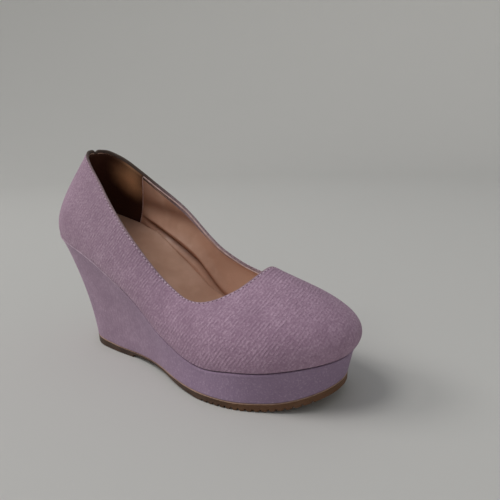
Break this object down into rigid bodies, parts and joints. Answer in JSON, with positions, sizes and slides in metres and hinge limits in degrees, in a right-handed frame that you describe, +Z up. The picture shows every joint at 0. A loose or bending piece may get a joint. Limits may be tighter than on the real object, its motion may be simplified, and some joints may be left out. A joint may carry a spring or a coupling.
{
  "type": "wedge pump",
  "caption": "closed round-toed wedge pump for the right foot: hollow microsuede upper, covered high wedge with a platform, rubber outsole with a heel lug and a ribbed forefoot",
  "frame": {"origin": "middle of the bounding box in plan, on the floor that the shoe stands on", "axes": "+X to the toe, +Y to the inner side of the foot, +Z up"},
  "size_m": [0.2268, 0.0784, 0.1302],
  "materials": {
    "upper_cloth": "matt lilac microsuede with a fine slanting grain, tan lining inside",
    "wedge_cover": "matt lilac microsuede, a little bluer than the upper",
    "outsole_rubber": "satin dark brown rubber",
    "sock": "smooth tan sock over a padded board"
  },
  "bodies": {
    "root": {"upper": "upper_cloth", "insole": "sock", "wedge": "wedge_cover", "outsole": "outsole_rubber"}
  },
  "joints": []
}
